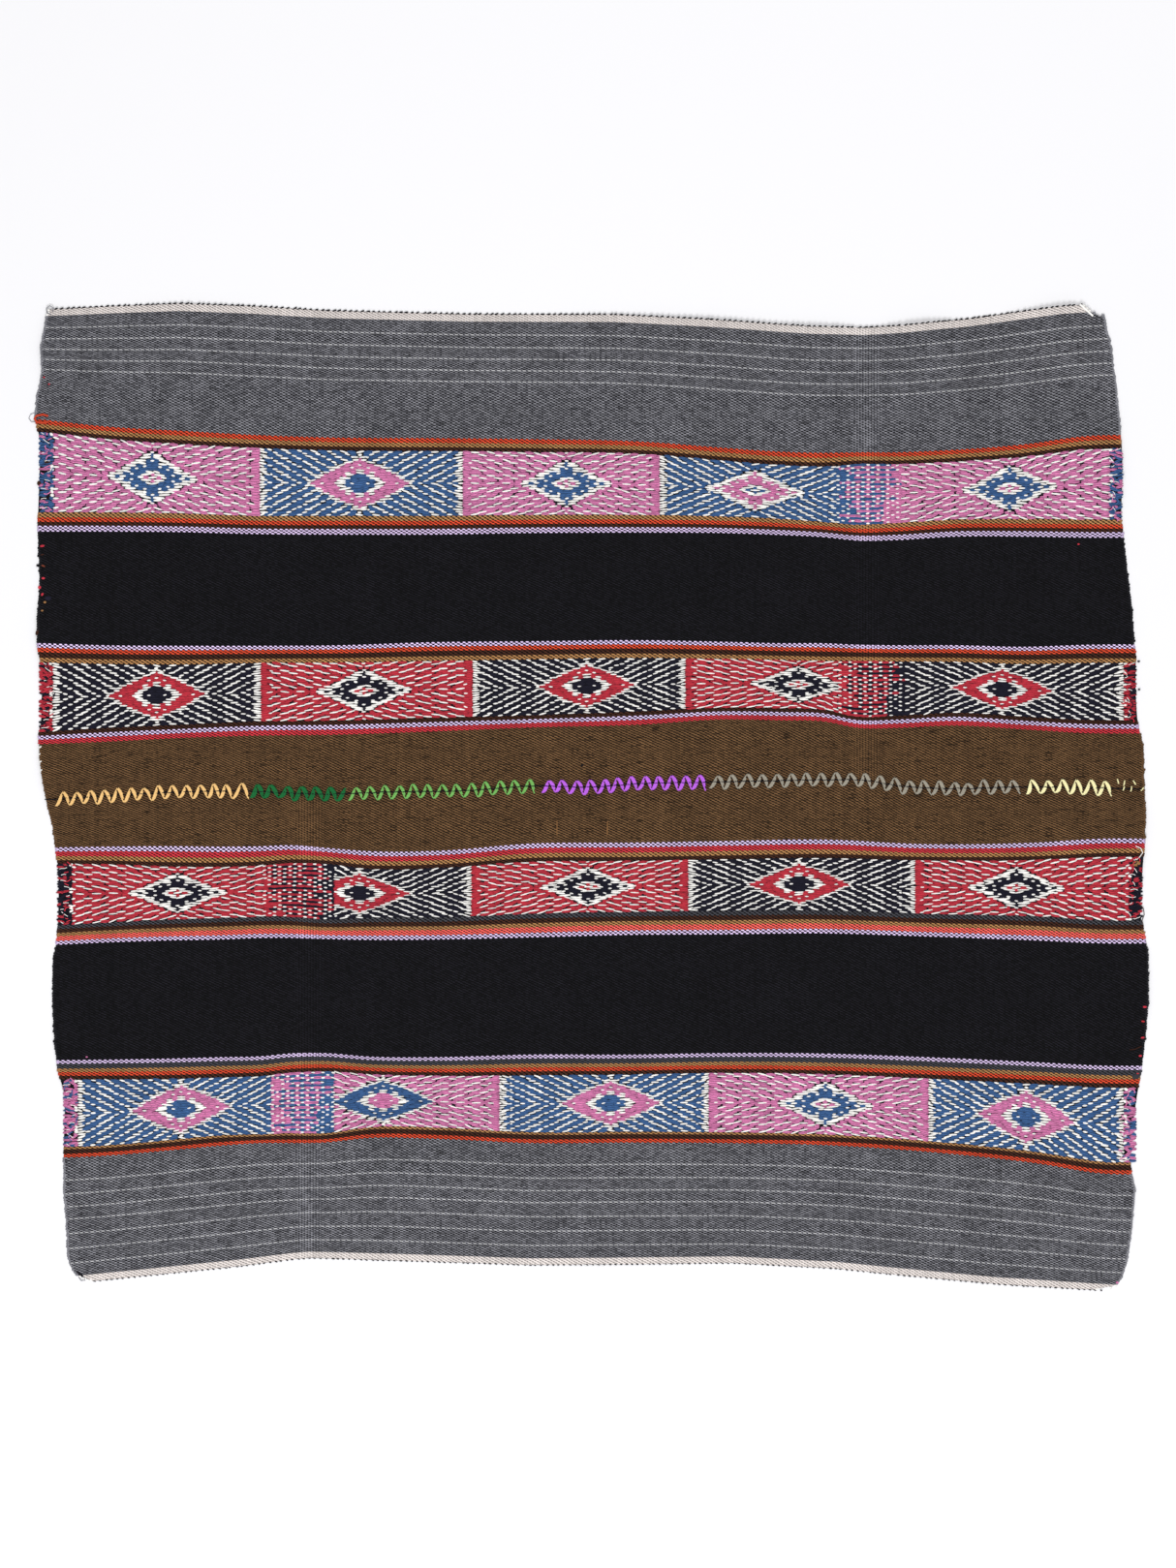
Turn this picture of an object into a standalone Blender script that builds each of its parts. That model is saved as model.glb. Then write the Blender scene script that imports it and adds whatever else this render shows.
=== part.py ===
import math

import bmesh
import bpy
import numpy as np

# Andean carrying cloth, laid flat: two woven panels joined along the middle by a
# zigzag of coloured yarn. Sizes are in millimetres and are turned to metres last.
# +X runs along the warp stripes, +Y across them, +Z is up, and the floor is z = 0.

MM = 0.001
CLOTH_THICKNESS = 1.8
PANEL_GAP = 0.3
COLUMNS = 66
PANEL_COLOUR = (0.09, 0.08, 0.08)

YARN_HALF_WIDTH = 1.3
YARN_HALF_HEIGHT = 0.8
YARN_CLEARANCE = 0.3
YARN_SIDES = 6
TIP_RADIUS = 1.65
TIP_STEPS = 2
TIP_REACH = 8.6
END_TIP_SHARE = 0.55

# The long edges and the joint between the panels, left to right.
# x, y
TOP_SELVEDGE = [
    (-538.0, 482.5),
    (-475.0, 486.0),
    (-408.0, 488.5),
    (-336.0, 486.0),
    (-261.0, 481.5),
    (-125.0, 478.0),
    (21.0, 477.5),
    (119.0, 472.5),
    (217.0, 465.5),
    (268.0, 464.5),
    (310.0, 466.5),
    (370.0, 473.0),
    (418.0, 479.5),
    (466.0, 485.5),
    (487.0, 487.0),
    (495.0, 479.5),
    (508.0, 476.5),
]
BOTTOM_SELVEDGE = [
    (-517.0, -463.0),
    (-512.0, -472.0),
    (-505.0, -477.0),
    (-494.0, -480.0),
    (-395.0, -470.0),
    (-346.0, -465.0),
    (-297.0, -458.5),
    (-278.0, -457.0),
    (-183.0, -460.0),
    (-60.0, -464.0),
    (43.0, -463.0),
    (140.0, -462.0),
    (242.0, -467.5),
    (295.0, -473.0),
    (402.0, -483.0),
    (495.0, -488.5),
    (519.0, -486.0),
    (525.5, -475.5),
]
JOINT = [
    (-550.0, -3.5),
    (-481.0, 0.5),
    (-433.0, 3.5),
    (-346.0, 5.5),
    (-261.0, 2.5),
    (-200.0, 4.5),
    (-124.0, 6.0),
    (-55.0, 10.5),
    (-1.0, 9.5),
    (43.0, 12.5),
    (124.0, 14.5),
    (242.0, 16.5),
    (266.0, 16.5),
    (306.0, 10.5),
    (335.0, 8.5),
    (428.0, 9.5),
    (550.0, 7.5),
]

# The short edges of each panel, from its selvedge to the joint.
# share of the way, left edge x, right edge x
UPPER_SIDES = [
    (0.000, -537.0, 507.5),
    (0.030, -541.0, 510.0),
    (0.080, -545.0, 514.0),
    (0.130, -544.0, 517.0),
    (0.180, -549.5, 520.0),
    (0.225, -551.0, 522.0),
    (0.265, -546.0, 523.5),
    (0.325, -546.5, 525.5),
    (0.385, -547.5, 525.0),
    (0.440, -548.5, 524.5),
    (0.510, -547.0, 528.5),
    (0.560, -546.0, 531.0),
    (0.630, -548.5, 535.0),
    (0.685, -548.5, 537.0),
    (0.735, -544.0, 539.0),
    (0.800, -544.5, 539.0),
    (0.840, -545.0, 540.0),
    (0.875, -547.5, 541.5),
    (0.905, -546.0, 546.0),
    (0.950, -544.0, 547.0),
    (1.000, -540.0, 547.5),
]
LOWER_SIDES = [
    (0.000, -517.0, 525.5),
    (0.030, -518.0, 528.0),
    (0.055, -518.5, 529.5),
    (0.105, -519.5, 533.5),
    (0.160, -521.5, 536.0),
    (0.205, -522.5, 538.0),
    (0.245, -522.5, 534.0),
    (0.300, -522.5, 534.0),
    (0.385, -521.0, 540.0),
    (0.440, -528.5, 544.5),
    (0.500, -531.5, 548.0),
    (0.580, -533.5, 551.0),
    (0.670, -533.0, 551.0),
    (0.715, -529.0, 547.5),
    (0.755, -528.0, 543.0),
    (0.850, -527.5, 546.0),
    (0.900, -531.0, 547.5),
    (0.950, -534.0, 548.5),
    (1.000, -540.0, 547.5),
]

# Low ripples where the cloth stands off the floor, a row each.
# middle x, middle y, reach along x, reach along y, height
RIPPLES = [
    (124.0, 476.0, 190.0, 70.0, 3.0),
    (232.0, 470.0, 62.0, 60.0, 2.6),
    (322.0, 470.0, 56.0, 66.0, 5.0),
    (461.0, 486.0, 62.0, 60.0, 4.2),
    (-392.0, 488.0, 90.0, 40.0, 1.2),
    (-545.0, 450.0, 46.0, 62.0, 2.6),
    (-549.0, 160.0, 40.0, 70.0, 2.0),
    (-545.0, 30.0, 44.0, 58.0, 2.6),
    (-521.0, -250.0, 40.0, 90.0, 1.4),
    (524.0, 330.0, 44.0, 90.0, 2.0),
    (548.0, -40.0, 40.0, 70.0, 2.2),
    (552.0, -190.0, 40.0, 66.0, 2.0),
    (532.0, -410.0, 40.0, 60.0, 1.4),
    (20.0, -464.0, 120.0, 40.0, 1.0),
    (276.0, 330.0, 26.0, 70.0, 1.3),
    (-276.0, -300.0, 26.0, 80.0, 1.2),
    (6.0, -250.0, 20.0, 130.0, 1.0),
]

# The seam yarn, a length of each colour along the joint.
# name, first tip x, last tip x, number of tips, red, green, blue
SEAM_YARNS = [
    ("seam_gold", -530.0, -341.0, 29, 0.86, 0.50, 0.15),
    ("seam_dark_green", -338.0, -245.0, 14, 0.01, 0.14, 0.04),
    ("seam_leaf_green", -241.0, -55.0, 27, 0.11, 0.42, 0.07),
    ("seam_purple", -49.0, 113.0, 25, 0.38, 0.09, 0.77),
    ("seam_grey", 117.0, 424.0, 43, 0.26, 0.24, 0.20),
    ("seam_pale_yellow", 430.0, 515.0, 13, 0.85, 0.77, 0.33),
]


def clear_scene():
    for item in list(bpy.data.objects):
        bpy.data.objects.remove(item, do_unlink=True)


def read_table(rows, at, column=1):
    keys = [row[0] for row in rows]
    values = [row[column] for row in rows]
    return float(np.interp(at, keys, values))


def bell(distance, reach):
    if abs(distance) >= reach:
        return 0.0
    return 0.5 + 0.5 * math.cos(math.pi * distance / reach)


def lift(x, y):
    total = 0.0
    for mid_x, mid_y, reach_x, reach_y, height in RIPPLES:
        total += height * bell(x - mid_x, reach_x) * bell(y - mid_y, reach_y)
    return total


def plain_material(name, red, green, blue):
    material = bpy.data.materials.new(name)
    material.use_nodes = True
    shader = material.node_tree.nodes["Principled BSDF"]
    shader.inputs["Base Color"].default_value = (red, green, blue, 1.0)
    shader.inputs["Roughness"].default_value = 0.9
    material.diffuse_color = (red, green, blue, 1.0)
    return material


def finish(name, bm, colour, sharp_angle):
    bmesh.ops.recalc_face_normals(bm, faces=bm.faces)
    bmesh.ops.scale(bm, vec=(MM, MM, MM), verts=bm.verts)
    mesh = bpy.data.meshes.new(name)
    bm.to_mesh(mesh)
    bm.free()
    for face in mesh.polygons:
        face.use_smooth = True
    mesh.set_sharp_from_angle(angle=math.radians(sharp_angle))
    piece = bpy.data.objects.new(name, mesh)
    bpy.context.scene.collection.objects.link(piece)
    mesh.materials.append(plain_material(name + "_wool", *colour))
    return piece


def panel_point(selvedge, side_row, joint_shift, along):
    share, left, right = side_row
    x = left + (right - left) * along
    outer = read_table(selvedge, x)
    joint = read_table(JOINT, x) + joint_shift
    return x, outer + (joint - outer) * share


def panel(name, selvedge, sides, joint_shift, colour):
    bm = bmesh.new()
    top = []
    under = []
    for side_row in sides:
        top_row = []
        under_row = []
        for step in range(COLUMNS + 1):
            x, y = panel_point(selvedge, side_row, joint_shift, step / COLUMNS)
            raised = lift(x, y)
            top_row.append(bm.verts.new((x, y, raised + CLOTH_THICKNESS)))
            under_row.append(bm.verts.new((x, y, raised)))
        top.append(top_row)
        under.append(under_row)
    last = len(sides) - 1
    for row in range(last):
        for step in range(COLUMNS):
            for sheet in (top, under):
                corners = (
                    sheet[row][step],
                    sheet[row][step + 1],
                    sheet[row + 1][step + 1],
                    sheet[row + 1][step],
                )
                bm.faces.new(corners)
    for step in range(COLUMNS):
        for row in (0, last):
            bm.faces.new((top[row][step], top[row][step + 1], under[row][step + 1], under[row][step]))
    for row in range(last):
        for step in (0, COLUMNS):
            bm.faces.new((top[row][step], top[row + 1][step], under[row + 1][step], under[row][step]))
    return finish(name, bm, colour, 50.0)


def rounded_path(corners, radius, steps):
    path = [np.array(corners[0])]
    for before, here, after in zip(corners, corners[1:], corners[2:]):
        here = np.array(here)
        back = np.array(before) - here
        ahead = np.array(after) - here
        back /= np.linalg.norm(back)
        ahead /= np.linalg.norm(ahead)
        half_angle = 0.5 * math.acos(float(np.clip(back @ ahead, -1.0, 1.0)))
        middle_line = (back + ahead) / np.linalg.norm(back + ahead)
        centre = here + middle_line * radius / math.sin(half_angle)
        first = here + back * radius / math.tan(half_angle) - centre
        turn = math.pi - 2.0 * half_angle
        if back[0] * ahead[1] - back[1] * ahead[0] > 0.0:
            turn = -turn
        for step in range(steps + 1):
            angle = turn * step / steps
            spun = (
                first[0] * math.cos(angle) - first[1] * math.sin(angle),
                first[0] * math.sin(angle) + first[1] * math.cos(angle),
            )
            path.append(centre + np.array(spun))
    path.append(np.array(corners[-1]))
    return path


def yarn(name, first_x, last_x, tips, colour):
    corners = []
    for tip in range(tips):
        x = first_x + (last_x - first_x) * tip / (tips - 1)
        side = 1.0 if tip % 2 else -1.0
        reach = TIP_REACH if 0 < tip < tips - 1 else TIP_REACH * END_TIP_SHARE
        corners.append((x, read_table(JOINT, x) + side * reach))
    path = rounded_path(corners, TIP_RADIUS, TIP_STEPS)
    bm = bmesh.new()
    rings = []
    for index, point in enumerate(path):
        before = path[max(index - 1, 0)]
        after = path[min(index + 1, len(path) - 1)]
        run = after - before
        run /= np.linalg.norm(run)
        z = lift(point[0], point[1]) + CLOTH_THICKNESS + YARN_CLEARANCE + YARN_HALF_HEIGHT
        ring = []
        for side in range(YARN_SIDES):
            angle = math.tau * (side + 0.5) / YARN_SIDES
            across = YARN_HALF_WIDTH * math.cos(angle)
            up = YARN_HALF_HEIGHT * math.sin(angle)
            ring.append(bm.verts.new((point[0] - run[1] * across, point[1] + run[0] * across, z + up)))
        rings.append(ring)
    for ring, next_ring in zip(rings, rings[1:]):
        for side in range(YARN_SIDES):
            other = (side + 1) % YARN_SIDES
            bm.faces.new((ring[side], ring[other], next_ring[other], next_ring[side]))
    bm.faces.new(rings[0])
    bm.faces.new(rings[-1])
    return finish(name, bm, colour, 70.0)


def build():
    clear_scene()
    panel("panel_upper", TOP_SELVEDGE, UPPER_SIDES, 0.5 * PANEL_GAP, PANEL_COLOUR)
    panel("panel_lower", BOTTOM_SELVEDGE, LOWER_SIDES, -0.5 * PANEL_GAP, PANEL_COLOUR)
    for name, first_x, last_x, tips, red, green, blue in SEAM_YARNS:
        yarn(name, first_x, last_x, tips, (red, green, blue))


build()
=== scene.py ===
import math
from itertools import groupby

import bmesh
import bpy
import numpy as np
from mathutils import Matrix, Vector


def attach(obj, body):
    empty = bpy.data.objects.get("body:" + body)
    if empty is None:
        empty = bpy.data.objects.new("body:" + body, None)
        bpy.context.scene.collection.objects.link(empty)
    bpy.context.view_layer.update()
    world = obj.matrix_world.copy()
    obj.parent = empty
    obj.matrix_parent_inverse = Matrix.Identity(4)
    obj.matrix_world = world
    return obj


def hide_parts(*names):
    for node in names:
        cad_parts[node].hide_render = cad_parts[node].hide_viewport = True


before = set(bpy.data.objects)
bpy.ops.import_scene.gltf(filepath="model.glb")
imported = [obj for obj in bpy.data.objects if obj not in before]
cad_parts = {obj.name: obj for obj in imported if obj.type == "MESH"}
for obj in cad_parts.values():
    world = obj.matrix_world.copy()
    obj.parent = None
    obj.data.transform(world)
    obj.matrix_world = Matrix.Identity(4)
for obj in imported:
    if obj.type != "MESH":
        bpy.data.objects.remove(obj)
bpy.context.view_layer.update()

# Andean carrying cloth, laid flat: two warp-faced panels joined by a zigzag of coloured yarn.
# Sizes are in millimetres and become metres as each mesh is finished.
# +X runs along the warp stripes, +Y across them, +Z is up, and the floor is z = 0.

MM = 0.001

# The cloth and its yarn.
FIRST_WEFT = -545.0
WEFT_STEP = 2.595
MID_HEIGHT = 0.9
PLAIN_HALF = 0.6
BAND_HALF = 0.34
EDGE_ROLL = 0.9
EDGE_WARPS = 0.7
PANEL_LENGTH = 1090.0
BAND_STEP = 0.5
PANEL_GAP = 0.3
COLUMNS = 220
ROW_SPACING = 7.0
GRAIN_RADIUS = 1.12
FLOOR_CLEARANCE = 0.02
WELD_REACH = 0.01
MAP_MARGIN = 0.004

# The long edges and the joint, left to right.
# x, y
TOP_SELVEDGE = [
    (-538, 482.5), (-475, 486), (-408, 488.5), (-336, 486), (-261, 481.5), (-125, 478), (21, 477.5),
    (119, 472.5), (217, 465.5), (268, 464.5), (310, 466.5), (370, 473), (418, 479.5), (466, 485.5),
    (487, 487), (510, 488.5),
]
BOTTOM_SELVEDGE = [
    (-520, -482.5), (-494, -480), (-395, -470), (-346, -465), (-297, -458.5), (-278, -457),
    (-183, -460), (-60, -464), (43, -463), (140, -462), (242, -467.5), (295, -473), (402, -483),
    (495, -488.5), (530, -490.5),
]
JOINT = [
    (-550, -3.5), (-481, 0.5), (-433, 3.5), (-346, 5.5), (-261, 2.5), (-200, 4.5), (-124, 6),
    (-55, 10.5), (-1, 9.5), (43, 12.5), (124, 14.5), (242, 16.5), (266, 16.5), (306, 10.5), (335, 8.5),
    (428, 9.5), (550, 7.5),
]

# The corners, from the selvedge to the short edge: left, then right.
# x, y
UPPER_CORNERS = (
    [(-538, 482.5), (-541, 468)],
    [(487, 487), (495, 479.5), (508, 476.5), (510, 462.5)],
)
LOWER_CORNERS = (
    [(-494, -480), (-505, -477), (-512, -472), (-517, -463)],
    [(495, -488.5), (519, -486), (525.5, -475.5)],
)

# The short edges of each panel, on from its corners to the joint.
# share of the way, left edge x, right edge x
UPPER_SIDES = [
    (0.08, -545, 514), (0.13, -544, 517), (0.18, -549.5, 520), (0.225, -551, 522), (0.265, -546, 523.5),
    (0.325, -546.5, 525.5), (0.385, -547.5, 525), (0.44, -548.5, 524.5), (0.51, -547, 528.5),
    (0.56, -546, 531), (0.63, -548.5, 535), (0.685, -548.5, 537), (0.735, -544, 539),
    (0.8, -544.5, 539), (0.84, -545, 540), (0.875, -547.5, 541.5), (0.905, -546, 546),
    (0.95, -544, 547), (1, -540, 547.5),
]
LOWER_SIDES = [
    (0.055, -518.5, 529.5), (0.105, -519.5, 533.5), (0.16, -521.5, 536), (0.205, -522.5, 538),
    (0.245, -522.5, 534), (0.3, -522.5, 534), (0.385, -521, 540), (0.44, -528.5, 544.5),
    (0.5, -531.5, 548), (0.58, -533.5, 551), (0.67, -533, 551), (0.715, -529, 547.5),
    (0.755, -528, 543), (0.85, -527.5, 546), (0.9, -531, 547.5), (0.95, -534, 548.5), (1, -540, 547.5),
]

# Where the main stripes start, going from each panel's selvedge to the joint.
# x, orange, first band, tan, black, lavender, second band, dark brown, olive brown
UPPER_LINES = [
    (-545, 373.5, 361.5, 281.5, 262.5, 152, 133, 64, 52),
    (-480, 366.5, 354.5, 281.5, 262.5, 150, 131.5, 68, 54.5),
    (-410, 362.5, 349.5, 280.5, 262, 149.5, 131, 71, 58),
    (-330, 358, 345.5, 278, 260, 149.5, 132.5, 74.5, 60.5),
    (-250, 355.5, 343, 278, 259.5, 150, 133, 75.5, 61.5),
    (-160, 355, 342.5, 278, 259.5, 153, 134.5, 78, 64.5),
    (-60, 354, 341.5, 279, 261, 154, 136, 80.5, 68.5),
    (50, 351.5, 339.5, 279, 261.5, 155, 137.5, 84.5, 71.5),
    (130, 345.5, 333, 277.5, 261, 153.5, 136.5, 88, 76.5),
    (190, 341.5, 328.5, 275, 259, 152, 135.5, 87.5, 75.5),
    (230, 340.5, 327, 272, 257, 152, 134.5, 86, 74.5),
    (265, 341, 329.5, 269.5, 253.5, 150.5, 134.5, 79, 68),
    (300, 341, 329.5, 271, 254, 150, 134, 80, 68),
    (360, 343.5, 332, 274.5, 257.5, 150, 133.5, 83, 70.5),
    (430, 349, 337, 275, 257.5, 148.5, 131.5, 79, 66.5),
    (490, 357, 344, 274.5, 256.5, 150.5, 132.5, 76, 63),
    (550, 358, 345, 274, 256.5, 151, 132.5, 75.5, 62.5),
]
# x, orange, fourth band, dark brown, black, lavender, third band, dark brown, olive brown
LOWER_LINES = [
    (-545, -358.5, -348, -280, -261, -147.5, -128.5, -66, -50.5),
    (-480, -355.5, -345.5, -280, -260.5, -144.5, -124.5, -67, -49.5),
    (-420, -350.5, -340.5, -279.5, -259.5, -142.5, -122, -69, -49),
    (-365, -345.5, -335.5, -278, -258, -141.5, -120, -69.5, -49.5),
    (-325, -343, -334.5, -276.5, -257, -140, -119, -68, -49),
    (-300, -343, -333.5, -273.5, -254.5, -140, -119, -66, -48),
    (-265, -342.5, -333.5, -272, -254, -141, -121.5, -66.5, -50.5),
    (-220, -338, -327.5, -275, -257.5, -142, -120, -71.5, -54),
    (-150, -339, -328, -276.5, -258, -141.5, -119.5, -70.5, -53.5),
    (-60, -343, -332.5, -276, -255.5, -139.5, -116, -64.5, -46.5),
    (40, -342.5, -332, -275, -255.5, -137, -114, -63.5, -45.5),
    (130, -343, -332.5, -273.5, -254, -136.5, -113, -62, -44),
    (230, -345, -334.5, -275, -254.5, -135.5, -112.5, -60.5, -42.5),
    (330, -351.5, -341, -279, -258, -138.5, -116, -63, -47),
    (440, -363, -352, -284.5, -263, -142.5, -118.5, -62.5, -45.5),
    (510, -373.5, -362, -288, -266.5, -145.5, -122.5, -59.5, -41.5),
    (550, -374, -362.5, -288.5, -266.5, -145.5, -122.5, -59.5, -41.5),
]

# The pale warps in the grey start this share of the stretch before the next grey.
PALE_LINE = 0.01


def lined_grey(white_warps, greys):
    """The first stretch: the white selvedge, then heather grey parted by single pale warps."""
    rows = [(0, 0, "white", white_warps)]
    for start, warps in greys:
        if len(rows) > 1:
            rows.append((0, round(start - PALE_LINE, 3), "pale", 1))
        rows.append((0, start, "grey", warps))
    return rows


# What lies between one line and the next, from the selvedge to the joint.
# stretch between lines, where it starts as a share of the stretch, yarn, warps
UPPER_STRIPES = lined_grey(6, [(0.06, 10), (0.172, 9), (0.272, 9), (0.366, 9), (0.458, 9), (0.548, 42)]) + [
    (1, 0, "orange", 3), (1, 0.36, "tan", 3), (1, 0.7, "dark_brown", 2),
    (2, 0, "band", 50),
    (3, 0, "tan", 3), (3, 0.26, "orange", 3), (3, 0.49, "dark_brown", 2), (3, 0.69, "lavender", 4),
    (4, 0, "black", 88),
    (5, 0, "lavender", 3), (5, 0.24, "orange", 3), (5, 0.47, "dark_brown", 3), (5, 0.76, "tan", 3),
    (6, 0, "band", 50),
    (7, 0, "dark_brown", 3), (7, 0.31, "lavender", 3), (7, 0.635, "dark_red", 4),
    (8, 0, "olive_brown", 46),
]
LOWER_GREYS = [
    (0.055, 10), (0.165, 11), (0.282, 11), (0.4, 11), (0.516, 9), (0.614, 9), (0.717, 9), (0.825, 16),
]
LOWER_STRIPES = lined_grey(5, LOWER_GREYS) + [
    (1, 0, "orange", 3), (1, 0.34, "dark_brown", 3), (1, 0.78, "tan", 2),
    (2, 0, "band", 50),
    (3, 0, "dark_brown", 2), (3, 0.19, "orange", 3), (3, 0.38, "tan", 3), (3, 0.56, "charcoal", 4),
    (3, 0.81, "lavender", 3),
    (4, 0, "black", 92),
    (5, 0, "lavender", 3), (5, 0.2, "coral", 4), (5, 0.43, "tan", 3), (5, 0.6, "dark_brown", 3),
    (5, 0.8, "charcoal", 3),
    (6, 0, "band", 50),
    (7, 0, "dark_brown", 3), (7, 0.21, "tan", 3), (7, 0.455, "dark_red", 4), (7, 0.74, "lavender", 3),
    (8, 0, "olive_brown", 44),
]

# Low ripples where the cloth stands off the floor.
# middle x, middle y, reach along x, reach along y, height
RIPPLES = [
    (124, 476, 190, 70, 3), (232, 470, 62, 60, 2.6), (322, 470, 56, 66, 5), (461, 486, 62, 60, 4.2),
    (-392, 488, 90, 40, 1.2), (-545, 450, 46, 62, 2.6), (-549, 160, 40, 70, 2), (-545, 30, 44, 58, 2.6),
    (-521, -250, 40, 90, 1.4), (524, 330, 44, 90, 2), (548, -40, 40, 70, 2.2), (552, -190, 40, 66, 2),
    (532, -410, 40, 60, 1.4), (20, -464, 120, 40, 1), (276, 330, 26, 70, 1.3),
    (-276, -300, 26, 80, 1.2), (6, -250, 20, 130, 1),
]

# The four patterned bands. A row of the weave is a line of warp floats.
BAND_ROWS = 25
MIDDLE_ROW = 12
FLOAT_SPAN = 3
HATCH_PERIOD = 6
COMB_PERIOD = 5.5
COMB_SPAN = 2.25
COMB_PHASE = 5.0
BLOCK_EDGE = 2
FLOAT_HALF_HEIGHT = 0.85
FLOAT_OVERLAP = 1.35
WHITE_OVERLAP = 0.65
COMB_OVERLAP = 0.0
COLOUR_WIDTH = 0.67
RING_WIDTH = 0.64
WHITE_WIDTH = 0.32
COMB_WIDTH = 0.35
WHITE_SPREAD = 0.05
END_WIDTH = 0.5
WHITE_RISE = 0.3
HATCH_TILT = math.radians(9.0)
COLOUR_TILT = 0.6 * HATCH_TILT
RING_TILT = math.radians(-3.0)
SLOPE_REACH = 2.0
# Random play of a float: place along its row and across it, shares of its length, width and height.
PLACE_PLAY = 0.3
FLOAT_PLAY = (0.2, 0.04, 0.07, 0.05)
TURN_PLAY = {"ends": 0.26, "white": 0.09, "colour": 0.05}
# Where an even and an odd row of a meeting block change colour, as shares of its wefts,
# and the chances of a white float there, in some rows and in most.
MEETING_CHANGES = ((0.65, 1.0), (0.0, 0.3))
FEW_WHITES_CHANCE = 0.15
FEW_WHITES = 0.25
MANY_WHITES = 0.85
# The end strips: chances of a new colour at an odd weft, of each letter, and of a white float.
END_CHANGE = 0.4
END_LETTERS = {"M": 0.66, "S": 0.26, ".": 0.08}
END_WHITE = 0.3

# A quarter of each woven diamond, read outwards from its middle: a string for each row,
# w white, m the block's own colour, s the second colour, a point where the dark ground shows.
TOOTHED_DIAMOND = [
    "wwmmwwssssswwsswwwmm",
    "mwwwwssswssswwwww.m",
    "wwwsssssswwwwwwm",
    "sssssswsswww.m",
    "ssswssswwww.m",
    "ssswwwwwwm",
    "wsswwww.m",
    "swwww.m",
    "swww.m",
    "w..m",
    ".m",
]
RINGED_DIAMOND = [
    "mmmwmmwwwwsssswssssw",
    "mmmmmmwwwssssssssww",
    "mmmmwwwwsssssssww",
    "mmmwwwssssssssww",
    "wwsswwssssssww",
    "wwssssssssww",
    "ssswsssswww",
    "wssssswww",
    "ssswww.",
    "sww.",
    "www",
    "w.",
]
DIAMONDS = {"toothed": TOOTHED_DIAMOND, "ringed": RINGED_DIAMOND}
OUTLINE_WIDTHS = {"toothed": 0.35, "ringed": 0.31}

# Each band's first x and its blocks, left to right. A plain block has one diamond, "ends" is
# the last few wefts, and "meeting" is where the weaver's two working ends met.
# end x, own colour, kind, diamond middle x, weft spacing
BAND_BLOCKS = {
    "band_1": (-546, [
        (-533, "blue", "ends", 0, 2.6),
        (-329, "pink", "toothed", -435.5, 2.55),
        (-127, "blue", "ringed", -231, 2.65),
        (67, "pink", "toothed", -25.5, 2.6),
        (243, "blue", "toothed", 161.5, 2.85),
        (307, "blue", "meeting", 0, 2.5),
        (513, "pink", "toothed", 412.5, 2.7),
        (524.5, "blue", "ends", 0, 2.6),
    ]),
    "band_2": (-546, [
        (-534, "red", "ends", 0, 2.6),
        (-327, "navy", "ringed", -430.5, 2.55),
        (-118, "red", "toothed", -226, 2.7),
        (93.5, "navy", "ringed", -7, 2.55),
        (245, "red", "toothed", 203, 2.75),
        (310, "red", "meeting", 0, 2.5),
        (527.5, "navy", "ringed", 404.5, 2.65),
        (538.5, "red", "ends", 0, 2.6),
    ]),
    "band_3": (-528, [
        (-514, "navy", "ends", 0, 2.6),
        (-325, "red", "toothed", -411.5, 2.8),
        (-255, "red", "meeting", 0, 2.5),
        (-118.5, "navy", "ringed", -232, 2.7),
        (95.5, "red", "toothed", -5.5, 2.7),
        (321, "navy", "ringed", 205, 2.65),
        (532, "red", "toothed", 420, 2.75),
        (544.5, "navy", "ends", 0, 2.6),
    ]),
    "band_4": (-522, [
        (-509, "pink", "ends", 0, 2.6),
        (-317, "blue", "ringed", -408.5, 2.6),
        (-255, "pink", "meeting", 0, 2.5),
        (-91.5, "pink", "ringed", -207, 2.65),
        (116.5, "blue", "ringed", 18.5, 2.6),
        (333.5, "pink", "toothed", 230, 2.7),
        (527.5, "blue", "ringed", 428.5, 2.6),
        (538.5, "pink", "ends", 0, 2.6),
    ]),
}
COMB_COLOURS = ("blue", "navy")
SECOND_COLOUR = {"pink": "blue", "blue": "pink", "navy": "red", "red": "navy"}

# Seam yarn, a length of each colour along the joint.
# yarn, first tip x, last tip x, number of tips, thickness share
SEAM_YARNS = [
    ("gold", -530, -341, 29, 1.08),
    ("dark_green", -338, -245, 14, 1.45),
    ("leaf_green", -241, -55, 27, 1.05),
    ("purple", -49, 113, 25, 1.2),
    ("grey", 117, 424, 43, 1.2),
    ("pale_yellow", 430, 515, 13, 1.15),
]
# Single stitches to the right of the last length of seam yarn.
# x, foot y, head y, lean
TAIL_STITCHES = [
    (521.3, 13, 17.3, -1.2), (527.5, 11, 15.8, 1), (527, 6.2, 10, 1.2), (534.4, 5.3, 10, 0.8),
    (537.6, 12, 15.8, -2.4), (545.4, 6, 9, 2.6),
]
STITCH_REACH = 6.6
# Random play of a tip, along the joint and across it.
TIP_PLAY = (0.6, 0.7)
STITCH_STEPS = 8
STITCH_BED = 1.95
TAIL_RISE = 0.8
STITCH_LOW = -0.1
STITCH_RISE = 0.95
# How straight and how rounded a leg of the zigzag is.
ZIGZAG_BEND = (0.65, 0.35)
ZIGZAG_THICKNESS = 0.8
PASS_END = 0.75
# The passes that thicken a leg: shift along the seam, share of the leg's height, rise.
STITCH_PASSES = [(1.1, 0.98, 0.0), (2.2, 0.86, 0.12)]
# Painted shade on the sides of a strand and painted light on its top, as values of its shade attribute.
PAINTED_SIDE_SHADE = -0.7
PAINTED_TOP_LIGHT = 1.3
PLY_RADIUS = 0.62
PLY_OFFSET = 0.46
PLY_PITCH = 5.0
PLY_FLATNESS = 0.55
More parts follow.
